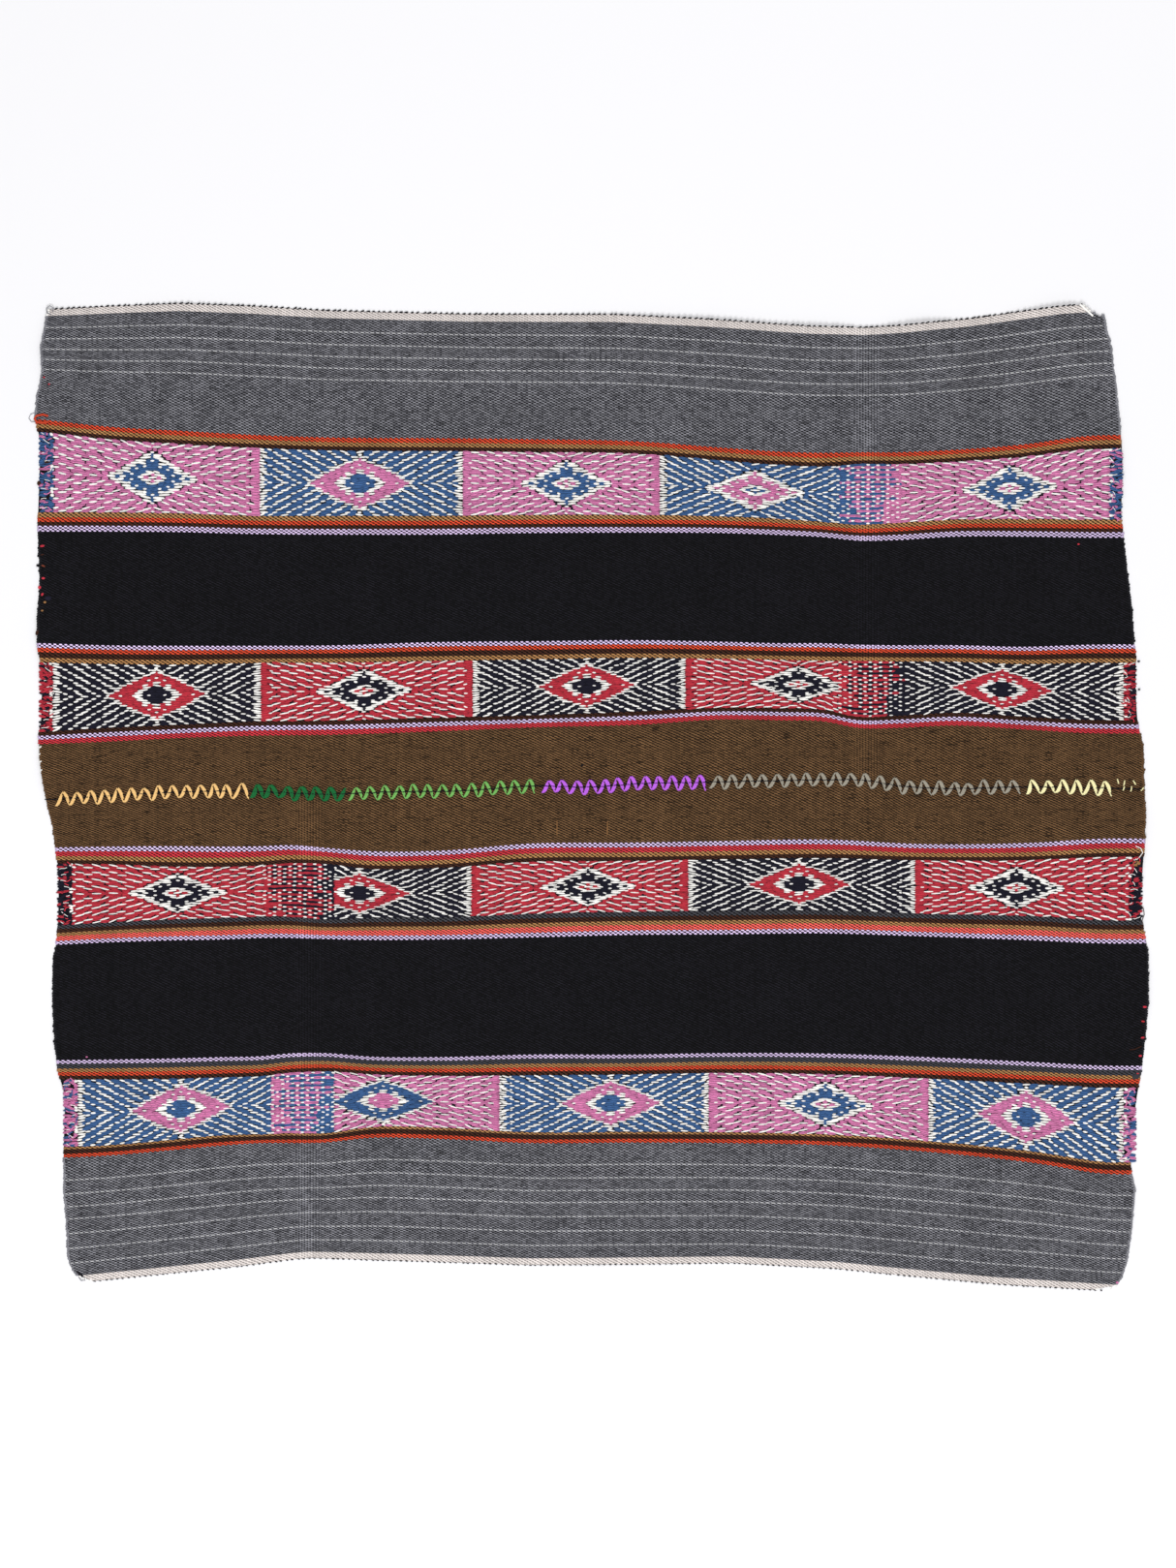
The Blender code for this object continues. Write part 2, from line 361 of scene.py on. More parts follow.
# The dark thread's first x, last x and step, and where it lies over the yarn.
THREAD_RUN = (-541.0, 546.0, 3.0)
THREAD_OVER = (-338.0, 424.0)
THREAD_LOW = 1.7
THREAD_HIGH = 3.05
THREAD_RADIUS = 0.5
# Chance that it lies over the yarn elsewhere, and its random play: across, and of its thickness.
THREAD_CHANCE = 0.4
THREAD_PLAY = (0.22, 0.12)

# Small stitches, knots and stray ends, mostly along the edges.
# x, y, length, width, turn in degrees, yarn
STRAY_YARN = [
    (-543.9, 248.3, 4.6, 2.6, 8, "red"), (-543.9, 239.7, 3.8, 1.6, 12, "dark_brown"),
    (-543, 228.6, 4.2, 2, -20, "rust"), (-548.3, 229, 3, 2.4, 0, "black"),
    (-542.9, 216.3, 3.4, 2.4, 0, "red"), (-546.4, 207.2, 3, 3.4, 75, "red"),
    (-543.7, 200.3, 3.2, 2.6, 60, "red"), (-538.1, 196.5, 6.4, 5, 0, "navy"),
    (-541.1, 192.5, 2.8, 2.6, 0, "tan"), (-543.7, 184.2, 2.6, 2, 0, "tan"),
    (-548.6, 162.4, 5.4, 3, 70, "dark_brown"), (547.8, -208.2, 4, 2.4, 0, "red"),
    (550, -206.6, 3.4, 2.6, 30, "black"), (546.1, -222.6, 3.6, 2, -10, "dark_red"),
    (545.9, -238.7, 3.8, 2.2, 10, "red"), (543.6, -256.8, 3.4, 2.2, 0, "red"),
    (539.5, -277, 8, 6, 20, "charcoal"), (541, -274.5, 3, 1.8, 0, "red"),
    (520.8, -481.4, 2.8, 2.4, 0, "pink"), (-541.9, 415.2, 2, 1.8, 0, "red"),
    (-537.1, 408.5, 2, 1.8, 0, "red"), (482.4, 250.1, 2.4, 1.8, 0, "red"),
    (-499.7, -257.8, 2.2, 1.6, 0, "pink"), (-9.1, 31.2, 3.2, 2.2, 30, "black"),
    (-2.4, 0.5, 3.4, 2, 60, "black"), (-545.6, 49, 3.4, 1.8, 35, "float_white"),
    (-546.4, 42, 3, 1.6, 40, "float_white"), (-545.4, 34.6, 3.2, 1.8, 30, "float_white"),
    (-544.6, 26, 3, 1.6, 45, "float_white"), (-506.5, -472.8, 9.2, 3, -42, "black"),
    (-539, 331.7, 6, 4, 20, "dark_brown"), (-547, 310.6, 4.4, 4, 60, "dark_brown"),
    (539.5, -66.2, 8, 5.6, 10, "tan"), (542, 133.9, 2.8, 1.6, 0, "black"),
    (542.4, 106.1, 2.6, 1.6, 0, "black"), (-34.1, -31.2, 17, 0.9, 90, "tan"),
    (15.8, -31.2, 15, 0.9, 90, "tan"),
]
# Loose threads. A thread's points follow it, over the cloth and off it.
# yarn, radius share, points x, y, height over the cloth
STRAY_THREADS = [
    ("orange", 2.6, [(-538, 377, 1.6), (-543, 378.4, 2.2), (-549.5, 377.2, 2), (-551.6, 374.2, 1.8),
                     (-549, 371, 2), (-543, 370.2, 2.2), (-537.6, 371.4, 1.6)]),
    ("grey", 0.7, [(-545, 379.4, 1.5), (-550, 381, 0.9), (-555.6, 379, 0.5), (-557.4, 375, 0.4),
                   (-555, 371.6, 0.5), (-551, 371.4, 0.8)]),
    ("grey", 1.2, [(-535, 477, 1.7), (-539, 479.4, 1.8), (-539.6, 483.6, 1.5), (-536.4, 486.2, 1.2),
                   (-532.6, 484, 1.7), (-533.4, 480, 1.8)]),
    ("dark_brown", 1.1, [(533, -250.8, 1.8), (538, -250.2, 2.2), (544.8, -247.2, 1.6)]),
    ("dark_brown", 0.9, [(541.6, -106, 1.8), (546.4, -110.4, 2), (547.4, -117, 1.9), (545.2, -122.8, 2),
                         (546.6, -128, 1.6)]),
    ("grey", 1, [(-508, -475.6, 1.7), (-505.4, -479.4, 1.4), (-501.4, -479, 1.3), (-502.6, -475.6, 1.7)]),
    ("float_white", 2.5, [(483.2, 487.2, 1.5), (489.1, 482.2, 1.5), (496.3, 475.8, 1.5)]),
    ("float_white", 1, [(538.6, -49, 1.8), (543.4, -51, 2.2), (545.6, -55.4, 1.8), (542.8, -59.4, 2.2),
                        (539.6, -62.4, 1.8)]),
]
STRAY_LIFT = 0.35
STRAY_HALF_HEIGHT = 0.7
STRAY_SWELL = 0.08
THREAD_SIZE = 0.45
CURLED_ENDS = 26
CURL_STEP = 1.1
CURL_HEIGHT = MID_HEIGHT + 1.15
# A curled end: its place in its share of the band, its inset from the edge, its first turn,
# its even bend and its uneven one, its height above the cloth and its number of points.
CURL_SPREAD = (0.2, 0.8)
CURL_INSET = (4.0, 14.0)
CURL_AIM = 0.5
CURL_BEND = (-0.45, 0.45)
CURL_WANDER = 0.25
CURL_PLAY = (0.0, 0.3)
CURL_POINTS = (4, 9)
CURL_THIN = 0.72
CURL_THICK = 1.12

# Loops of yarn round the edges.
LOOP_SPACING = 2.5
LOOP_INSET = 0.9
LOOP_HALF_LENGTH = 1.7
LOOP_HALF_HEIGHT = 0.75
LOOP_OVERLAP = 0.15
# Random play of a loop: its place, half length and turn.
LOOP_PLAY = (0.35, 0.2, 0.2)
TURN_SPACING = 5.6
TURN_SHAPE = 0.43
TURN_HALF_HEIGHT = 0.78
TURN_LIFT = 0.1
TURN_OUT = 0.1
# Random play of a turn of the weft: its place, its size as a share, and its lean.
WEFT_PLAY = (0.5, 0.15, 0.12)
# Dark weft turns along each selvedge: first x, last x, tilt, size.
UPPER_TURNS = (-530.0, 487.0, 0.4, 1.9)
LOWER_TURNS = (-492.0, 505.0, -0.4, 1.35)
EDGE_YARNS = ["grey", "orange", "coral", "tan", "dark_brown", "lavender", "dark_red", "olive_brown",
              "charcoal", "black", "soft_black", "float_white", "red", "navy", "pink", "blue", "rust"]
EDGE_COLOURS = {"pale": "grey", "white": "float_white", "black": "soft_black"}

# Colours as they look in plain daylight.
DYES = {
    "white": "#e3dad6",
    "pale": "#b9b9bc",
    "grey": "#8b8b92",
    "grey_dark": "#2b2b33",
    "orange": "#c9452b",
    "coral": "#ee6058",
    "tan": "#a3764a",
    "dark_brown": "#3d2218",
    "band": "#16141c",
    "lavender": "#c6b2d6",
    "black": "#17161c",
    "soft_black": "#1d1d22",
    "dark_red": "#c5353f",
    "olive_brown": "#654a30",
    "charcoal": "#3e3e44",
    "float_white": "#fcfaf6",
    "pink": "#e888bd",
    "blue": "#446ba1",
    "navy": "#1f1e2e",
    "red": "#d23a4a",
    "rust": "#7c3d2a",
    "gold": "#f6ca86",
    "dark_green": "#1c6c39",
    "leaf_green": "#79b861",
    "purple": "#c369ea",
    "seam_grey": "#a09a8c",
    "pale_yellow": "#fbf3bc",
}

UNDYED = ("white", "float_white")
DYE_DEPTH = 0.91

# How the plain stripes look. A ply is a share of the stripe's own dye, or of the dye beside it.
# light ply, dark ply, what shows between the dashes (the hidden weft, darkened as painted shade), heather,
# fill, slant
FINISHES = {
    "white": (1.15, ("white", 0.8), ("white", 0.35), 0.5, 1.0, 0.6),
    "pale": (1.25, ("pale", 0.8), ("grey_dark", 1.0), 0.5, 0.95, 0.3),
    "grey": (1.55, ("grey_dark", 1.0), ("grey_dark", 0.1), 0.85, 0.84, 0.3),
    "band": (1.0, ("band", 0.6), ("band", 0.4), 0.8, 1.0, 1.0),
    "black": (2.0, ("black", 0.2), ("black", 0.05), 0.95, 0.84, 0.8),
    "lavender": (2.0, ("lavender", 1.0), ("band", 0.4), 0.4, 0.78, 0.3),
    "olive_brown": (2.05, ("olive_brown", 0.4), ("olive_brown", 0.08), 0.8, 0.86, 0.75),
}
for plain in ("orange", "coral", "tan", "dark_brown", "dark_red", "charcoal"):
    FINISHES[plain] = (1.8, (plain, 0.7), (plain, 0.08), 0.6, 0.86, 0.65)
# How dark the uneven lengths of yarn are.
SLUBS = {"olive_brown": 0.6, "grey": 0.45}
# Slant of the dashes, and the x where the panel's working ends met.
UPPER_WEAVE = (-0.5, 273.0)
LOWER_WEAVE = (0.5, -280.0)
DASH_LENGTH = 0.84
DASH_WIDTH = 0.68
RIBS_PER_WEFT = 0.92
FINE_PLY_PITCH = 1.7
SEAM_PLY_PITCH = 1.3

# Camera and light.
CAMERA_PLACE = (-3.4, 12.5, 3000.0)
CAMERA_LENS = 69.5
CAMERA_SENSOR = 36.0
CAMERA_FAR = 20.0
FLOOR_SIDE = 9.0
FLOOR_LOOKS = {"Base Color": (0.93, 0.927, 0.95, 1.0), "Roughness": 0.9, "Specular IOR Level": 0.1}
SURROUND = 0.52
# name, place in metres, side, power
LAMPS = [
    ("key_light", (-0.4, -2.6, 3.4), 1.6, 92.0),
    ("fill_light", (0.6, 2.4, 3.6), 3.0, 54.0),
]


def linear(code):
    """A colour code as linear red, green and blue."""
    parts = [int(code[k:k + 2], 16) / 255.0 for k in (1, 3, 5)]
    return [p / 12.92 if p <= 0.04045 else ((p + 0.055) / 1.055) ** 2.4 for p in parts]


def dye(name, share=1.0):
    """The linear colour of a dye, made lighter or darker by a share."""
    depth = 1.0 if name in UNDYED else DYE_DEPTH
    red, green, blue = [part * depth * share for part in linear(DYES[name])]
    return (red, green, blue, 1.0)


def columns_of(rows):
    return np.array(rows, float).T


def smooth_line(stations, heights, at):
    """A smooth line through measured points."""
    at = np.clip(at, stations[0], stations[-1])
    slopes = np.gradient(heights, stations)
    place = np.clip(np.searchsorted(stations, at) - 1, 0, len(stations) - 2)
    width = stations[place + 1] - stations[place]
    t = (at - stations[place]) / width
    start = (1.0 + 2.0 * t) * (1.0 - t) ** 2 * heights[place]
    start_slope = t * (1.0 - t) ** 2 * width * slopes[place]
    end = t * t * (3.0 - 2.0 * t) * heights[place + 1]
    end_slope = t * t * (t - 1.0) * width * slopes[place + 1]
    return start + start_slope + end + end_slope


def bell(distance, reach):
    share = np.clip(np.abs(distance) / reach, 0.0, 1.0)
    return 0.5 + 0.5 * np.cos(math.pi * share)


def lift(x, y):
    """How far the cloth stands off the floor."""
    total = np.zeros(np.shape(x))
    for mid_x, mid_y, reach_x, reach_y, height in RIPPLES:
        total = total + height * bell(x - mid_x, reach_x) * bell(y - mid_y, reach_y)
    return total


def joint_line(x):
    table = columns_of(JOINT)
    return smooth_line(table[0], table[1], x)


class Panel:
    """One loom panel: its outline and its stripe lines."""

    def __init__(self, selvedge, corners, sides, lines, stripes, joint_shift):
        self.selvedge = columns_of(selvedge)
        self.lines = columns_of(lines)
        self.joint_shift = joint_shift
        # Each stripe: stretch, start share, end share, yarn, warps.
        self.stripes = []
        for (stretch, start, yarn, warps), after in zip(stripes, stripes[1:] + [(None, 1.0)]):
            end = after[1] if after[0] == stretch else 1.0
            self.stripes.append((stretch, start, end, yarn, warps))
        self.edges = []
        for number, corner in enumerate(corners):
            points = list(corner)
            for row in sides:
                x = row[1 + number]
                outer = float(self.line(0, x))
                points.append((x, outer + (float(self.line(len(self.lines), x)) - outer) * row[0]))
            self.edges.append(columns_of(points))

    def line(self, number, x):
        """Height of a stripe line: 0 is the selvedge and the last is the joint."""
        if number == 0:
            return np.interp(x, self.selvedge[0], self.selvedge[1])
        if number == len(self.lines):
            return joint_line(x) + self.joint_shift
        return smooth_line(self.lines[0], self.lines[number], x)

    def height(self, stretch, share, x):
        lower = self.line(stretch, x)
        return lower + (self.line(stretch + 1, x) - lower) * share

    def width(self, stretch, start, end, x):
        return abs(self.height(stretch, end, x) - self.height(stretch, start, x))

    def side(self, stretch, share, edge):
        """Where a line along the stripes meets the left (0) or right (1) edge."""
        x, y = self.edges[edge]
        past = (self.height(stretch, share, x) - y) * np.sign(y[0] - y[-1])
        return float(np.interp(0.0, np.maximum.accumulate(past), x))

    def point(self, stretch, share, along):
        left = self.side(stretch, share, 0)
        right = self.side(stretch, share, 1)
        x = left + (right - left) * along
        return x, self.height(stretch, share, x)


UPPER = Panel(TOP_SELVEDGE, UPPER_CORNERS, UPPER_SIDES, UPPER_LINES, UPPER_STRIPES, 0.5 * PANEL_GAP)
LOWER = Panel(BOTTOM_SELVEDGE, LOWER_CORNERS, LOWER_SIDES, LOWER_LINES, LOWER_STRIPES, -0.5 * PANEL_GAP)
# Panel, stretch, share at the band's top, share at its foot, yarns.
BAND_PLACES = {
    "band_1": (UPPER, 2, 0.0, 1.0, ("float_white", "pink", "blue")),
    "band_2": (UPPER, 6, 0.0, 1.0, ("float_white", "navy", "red")),
    "band_3": (LOWER, 6, 1.0, 0.0, ("float_white", "navy", "red")),
    "band_4": (LOWER, 2, 1.0, 0.0, ("float_white", "pink", "blue")),
}


def add_node(tree, kind, **settings):
    node = tree.nodes.new(kind)
    for key, value in settings.items():
        setattr(node, key, value)
    return node


class Wire:
    """A value on its way through a node tree. Sums of wires make math nodes."""

    def __init__(self, socket):
        self.socket = socket

    def __add__(self, other):
        return calc("ADD", self, other)

    def __sub__(self, other):
        return calc("SUBTRACT", self, other)

    def __rsub__(self, other):
        return calc("SUBTRACT", other, self)

    def __mul__(self, other):
        return calc("MULTIPLY", self, other)

    def __truediv__(self, other):
        return calc("DIVIDE", self, other)


def wired(kind, inputs, output=0, **settings):
    """A node fed with wires and numbers, as a wire from one of its outputs."""
    tree = next(value.socket.id_data for value in inputs.values() if isinstance(value, Wire))
    node = add_node(tree, kind, **settings)
    for key, value in inputs.items():
        if isinstance(value, Wire):
            tree.links.new(value.socket, node.inputs[key])
        else:
            node.inputs[key].default_value = value
    return Wire(node.outputs[output])


def calc(operation, *values):
    return wired("ShaderNodeMath", dict(enumerate(values)), operation=operation)


def spread(*values):
    """A value from one range (low, high) eased into another (new low, new high)."""
    return wired("ShaderNodeMapRange", dict(enumerate(values)), interpolation_type="SMOOTHSTEP")


def blend(share, first, second, mode="MIX"):
    return wired("ShaderNodeMix", {0: share, 6: first, 7: second}, 2, data_type="RGBA", blend_type=mode)


def vector(x, y, z=0.0):
    return wired("ShaderNodeCombineXYZ", {0: x, 1: y, 2: z})


def noise(x, y, detail=2.0):
    return wired("ShaderNodeTexNoise", {"Vector": vector(x, y), "Scale": 1.0, "Detail": detail}, "Fac")


def new_group(name, colours, numbers):
    """A group with a Place, colours and numbers in, and the colour, height and roughness of wool out."""
    tree = bpy.data.node_groups.new(name, "ShaderNodeTree")
    kinds = {"Place": "Vector"}
    kinds.update({socket: "Color" for socket in colours})
    kinds.update({socket: "Float" for socket in numbers})
    for socket, kind in kinds.items():
        tree.interface.new_socket(socket, in_out="INPUT", socket_type="NodeSocket" + kind)
    for socket, kind in (("Color", "Color"), ("Height", "Float"), ("Roughness", "Float")):
        tree.interface.new_socket(socket, in_out="OUTPUT", socket_type="NodeSocket" + kind)
    source = tree.nodes.new("NodeGroupInput")
    parts = add_node(tree, "ShaderNodeSeparateXYZ")
    tree.links.new(source.outputs["Place"], parts.inputs[0])
    given = {socket: Wire(source.outputs[socket]) for socket in kinds}
    return given, Wire(parts.outputs[0]), Wire(parts.outputs[1])


def close_group(colour, tone, height, roughness):
    """The outputs of a group: its colour darkened by a tone (random tone, and in the yarn also painted
    shade and light), its height and its roughness.
    """
    colour = blend(1.0, colour, vector(tone, tone, tone), "MULTIPLY")
    tree = colour.socket.id_data
    made = tree.nodes.new("NodeGroupOutput")
    for number, wire in enumerate((colour, height, roughness)):
        tree.links.new(wire.socket, made.inputs[number])
    return tree


def warp_faced_weave():
    """Warp dashes in a brick lattice over hidden wefts. Place is counted in wefts and warps."""
    given, true_weft, warp = new_group("warp_faced_weave", ["Light Ply", "Dark Ply", "Between"],
                                       ["Heather", "Slant", "Fill", "Meeting Weft", "Slubs"])
    weft = true_weft + (noise(true_weft * 0.11, warp * 0.07) - 0.5) * 1.6
    heights = []
    places = []
    for shift in (0.5, 1.5):
        x = calc("WRAP", weft - shift, 1.0, -1.0)
        y = calc("WRAP", warp - shift, 1.0, -1.0) + x * given["Slant"]
        long_way = calc("POWER", x / given["Fill"] / DASH_LENGTH, 2.0)
        short_way = calc("POWER", y / given["Fill"] / DASH_WIDTH, 2.0)
        heights.append(calc("SQRT", calc("MAXIMUM", 1.0 - (long_way + short_way), 0.0)))
        cell_x = calc("FLOOR", (weft - (shift - 1.0)) * 0.5)
        cell_y = calc("FLOOR", (warp - (shift - 1.0)) * 0.5)
        places.append(vector(cell_x, cell_y, shift))
    height = calc("MAXIMUM", *heights)
    second_wins = calc("GREATER_THAN", heights[1], heights[0])
    cell = wired("ShaderNodeMix", {0: second_wins, 4: places[0], 5: places[1]}, 1, data_type="VECTOR")
    chance = wired("ShaderNodeTexWhiteNoise", {"Vector": cell}, "Value", noise_dimensions="3D")
    fibre = noise(weft * 1.7, warp * 3.1, 3.0)
    ply = spread(chance * 0.42 + fibre, 0.35, 1.1, 0.0, 1.0)
    yarn = blend(ply * given["Heather"], given["Light Ply"], given["Dark Ply"])

    # Packed wefts stand up as ribs where the two working ends met.
    away = calc("ABSOLUTE", true_weft - given["Meeting Weft"])
    packed = spread(away, 3.0, 9.0, 0.6, 0.0)
    rib = calc("COSINE", true_weft * (math.tau * RIBS_PER_WEFT)) * 0.38 + 0.62
    ribbed = rib * (height * 0.4 + 0.6)
    height = wired("ShaderNodeMix", {0: packed, 2: height, 3: ribbed}, data_type="FLOAT")

    # Painted shade: where the dashes dip, in the gaps between them and between the ribs, the colour turns
    # to the dark Between colour, the hidden weft in shade.
    colour = blend(spread(height, 0.1, 0.75, 0.0, 1.0), given["Between"], yarn)
    cloud = noise(true_weft * 0.06, warp * 0.03, 3.0)
    bar = noise(true_weft * 0.6, warp * 0.012, 1.0)
    tone = spread(cloud, 0.25, 0.75, 0.82, 1.02) + spread(bar, 0.3, 0.7, -0.09, 0.09) + chance * 0.22
    # Short dark lengths of uneven yarn here and there.
    slub = spread(noise(weft * 0.16, warp * 0.8, 0.0), 0.64, 0.72, 0.0, 1.0) * given["Slubs"]
    tone = tone * (1.0 - slub)
    return close_group(colour, tone, height + fibre * 0.25, spread(fibre, 0.2, 0.8, 0.82, 0.96))


def spun_yarn():
    """Two-ply wool seen close: slanting plies and loose fibres, in millimetres of the piece."""
    given, x, y = new_group("spun_yarn", ["Dye"], ["Shade", "Across", "Split", "Ply Pitch"])
    x = x * (1.0 / MM)
    y = y * (1.0 / MM)
    ply = calc("SINE", (x + y * 0.9) / given["Ply Pitch"] * math.tau)
    fibre = noise(x * 0.8, y * 2.6, 4.0)
    cloud = noise(x * 0.02, y * 0.05)
    # The tone: the shade attribute (a random tone for each float or loop, painted shade and light on a
    # strand), painted light on the ply crests and painted shade in the twist, following the bump, then
    # loose fibres and slow clouds.
    tone = given["Shade"] * 0.24 + 0.88 + ply * 0.05
    tone = tone + spread(fibre, 0.25, 0.75, -0.16, 0.14) + spread(cloud, 0.3, 0.7, -0.04, 0.04)
    # A coloured float is two warps side by side, with a groove between them, dipped in the bump and
    # darkened with painted shade.
    off = calc("ABSOLUTE", given["Across"] + (fibre - 0.5) * 0.3)
    groove = spread(off, 0.04, 0.4, 1.0, 0.0) * given["Split"]
    tone = tone * (1.0 - groove * 0.62)
    height = ply * 0.4 + fibre - groove * 2.0
    return close_group(given["Dye"], tone, height, spread(fibre, 0.2, 0.8, 0.8, 0.95))


WEAVE = warp_faced_weave()
YARN = spun_yarn()
# What feeds each group: socket, node, its output, its settings.
WEAVE_SOURCES = [("Place", "ShaderNodeUVMap", "UV", {"uv_map": "Weave"})]
YARN_SOURCES = [
    ("Place", "ShaderNodeTexCoord", "Object", {}),
    # The shade attribute holds a random tone on floats and loops, and painted shade and light on strands.
    ("Shade", "ShaderNodeAttribute", "Fac", {"attribute_name": "shade"}),
    ("Across", "ShaderNodeAttribute", "Fac", {"attribute_name": "across"}),
]


def new_material(name, values):
    material = bpy.data.materials.new(name)
    material.use_nodes = True
    shader = material.node_tree.nodes["Principled BSDF"]
    for socket, value in values.items():
        shader.inputs[socket].default_value = value
    return material, material.node_tree, shader


def wool(name, kind, sources, values, relief, sheen, tint):
    """A wool finish: a group fed by its sources and by fixed values, into the Principled BSDF."""
    fixed = {
        "Sheen Weight": sheen,
        "Sheen Roughness": 0.45,
        "Sheen Tint": tint,
        "Specular IOR Level": 0.15,
    }
    material, tree, shader = new_material(name, fixed)
    group = add_node(tree, "ShaderNodeGroup", node_tree=kind)
    for socket, source, output, settings in sources:
        tree.links.new(add_node(tree, source, **settings).outputs[output], group.inputs[socket])
    for socket, value in values.items():
        group.inputs[socket].default_value = value
    bump = add_node(tree, "ShaderNodeBump")
    bump.inputs["Distance"].default_value = relief * MM
    for start, output, end, socket in (
        (group, "Height", bump, "Height"),
        (bump, "Normal", shader, "Normal"),
        (group, "Color", shader, "Base Color"),
        (group, "Roughness", shader, "Roughness"),
    ):
        tree.links.new(start.outputs[output], end.inputs[socket])
    return material


def yarn_wool(name, colour, ply_pitch=FINE_PLY_PITCH, split=0.0):
    values = {"Split": split, "Dye": colour, "Ply Pitch": ply_pitch}
    return wool(name, YARN, YARN_SOURCES, values, 0.12, 0.18, colour)


def stripe_materials(slant, meeting_x):
    """The plain stripes of one panel."""
    made = {}
    for name, (light, dark, between, heather, fill, own_slant) in FINISHES.items():
        values = {
            "Light Ply": dye(name, light),
            "Dark Ply": dye(*dark),
            "Between": dye(*between),
            "Heather": heather,
            "Fill": fill,
            "Slant": slant * own_slant,
            "Meeting Weft": (meeting_x - FIRST_WEFT) / WEFT_STEP,
            "Slubs": SLUBS.get(name, 0.0),
        }
        made[name] = wool("woven_" + name, WEAVE, WEAVE_SOURCES, values, 0.5, 0.04, dye(name, light))
    return made


def mesh_of(bm, name):
    mesh = bpy.data.meshes.new(name)
    bm.to_mesh(mesh)
    bm.free()
    return mesh


def put_in_scene(name, data):
    made = bpy.data.objects.new(name, data)
    bpy.context.scene.collection.objects.link(made)
    return made


def coordinates(mesh, value="co"):
    found = np.zeros(len(mesh.vertices) * 3, np.float32)
    mesh.vertices.foreach_get(value, found)
    return found.reshape(-1, 3)


def plan_map(mesh):
    """The OFBake map: the piece seen from above, filling the unit square."""
    points = coordinates(mesh)[:, :2]
    low = points.min(0)
    size = np.maximum(points.max(0) - low, 1e-6)
    flat = MAP_MARGIN + (1.0 - 2.0 * MAP_MARGIN) * (points - low) / size
    corners = np.zeros(len(mesh.loops), np.int32)
    mesh.loops.foreach_get("vertex_index", corners)
    layer = mesh.uv_layers.new(name="OFBake")
    layer.uv.foreach_set("vector", flat[corners].astype(np.float32).ravel())


def finished(name, mesh, materials=()):
    """A mesh in millimetres becomes a piece in metres."""
    for material in materials:
        mesh.materials.append(material)
    mesh.transform(Matrix.Scale(MM, 4))
    mesh.shade_smooth()
    piece = put_in_scene(name, mesh)
    plan_map(mesh)
    return piece


def point_values(mesh, name, values):
    layer = mesh.attributes.new(name, "FLOAT", "POINT")
    layer.data.foreach_set("value", np.asarray(values, np.float32))


def panel_rows(panel):
    """Mesh rows across a panel: stretch, share, warp count, yarn beyond it, half thickness."""
    rows = []
    warps = 0
    for stretch, start, end, yarn, count in panel.stripes:
        width = panel.width(stretch, start, end, 0.0)
        steps = max(1, round(width / ROW_SPACING))
        for step in range(steps):
            share = start + (end - start) * step / steps
            half = BAND_HALF if yarn == "band" and step else PLAIN_HALF
            rows.append((stretch, share, warps + count * step / steps, yarn, half))
            edge = BAND_STEP / width
            if yarn == "band" and step == 0:
                rows.append((stretch, edge, warps + count * edge, yarn, BAND_HALF))
            if yarn == "band" and step == steps - 1:
                rows.append((stretch, 1.0 - edge, warps + count * (1.0 - edge), yarn, BAND_HALF))
        warps += count
    stretch = len(panel.lines) - 1
    first_share = EDGE_ROLL / panel.width(0, 0.0, 1.0, 0.0)
    last_share = 1.0 - EDGE_ROLL / panel.width(stretch, 0.0, 1.0, 0.0)
    roll = (0, first_share, EDGE_WARPS, rows[0][3], PLAIN_HALF)
    turn = (stretch, last_share, warps - EDGE_WARPS, rows[-1][3], PLAIN_HALF)
    return rows[:1] + [roll] + rows[1:] + [turn, (stretch, 1.0, warps, "", PLAIN_HALF)]


def cloth(name, panel, materials):
    """One panel as a closed sheet: a grid for the face, one for the back, joined at the edges."""
    rows = panel_rows(panel)
    roll = EDGE_ROLL / PANEL_LENGTH
    alongs = np.array([0.0, roll] + [k / COLUMNS for k in range(1, COLUMNS)] + [1.0 - roll, 1.0])
    grid = np.zeros((len(rows), len(alongs), 2))
    for number, (stretch, share, _, _, _) in enumerate(rows):
        grid[number, :, 0], grid[number, :, 1] = panel.point(stretch, share, alongs)
    raised = lift(grid[..., 0], grid[..., 1])
    half = np.array([row[4] for row in rows])[:, None] * np.ones(len(alongs))
    half[0, :] = half[-1, :] = 0.0
    half[:, 0] = half[:, -1] = 0.0

    kinds = list(materials)
    bm = bmesh.new()
    weave = bm.loops.layers.uv.new("Weave")
    last_row = len(rows) - 1
    last_column = len(alongs) - 1
    for side in (1.0, -1.0):
        made = bmesh.ops.create_grid(bm, x_segments=last_column, y_segments=last_row, size=1.0)
        places = {}
        for vertex in made["verts"]:
            column = round((vertex.co.x + 1.0) * 0.5 * last_column)
            row = round((vertex.co.y + 1.0) * 0.5 * last_row)
            places[vertex] = (row, column)
        faces = {face for vertex in made["verts"] for face in vertex.link_faces}
        for face in faces:
            lowest = min(places[vertex][0] for vertex in face.verts)
            face.material_index = kinds.index(rows[lowest][3])
            for loop in face.loops:
                row, column = places[loop.vert]
                loop[weave].uv = ((grid[row, column, 0] - FIRST_WEFT) / WEFT_STEP, rows[row][2])
        for vertex, (row, column) in places.items():
            x, y = grid[row, column]
            vertex.co = (x, y, raised[row, column] + MID_HEIGHT + side * half[row, column])
        faces_up = side * (grid[-1, 0, 1] - grid[0, 0, 1])
        if faces_up < 0.0:
            bmesh.ops.reverse_faces(bm, faces=list(faces))
    bmesh.ops.remove_doubles(bm, verts=bm.verts, dist=WELD_REACH)
    return finished(name, mesh_of(bm, name), materials.values())


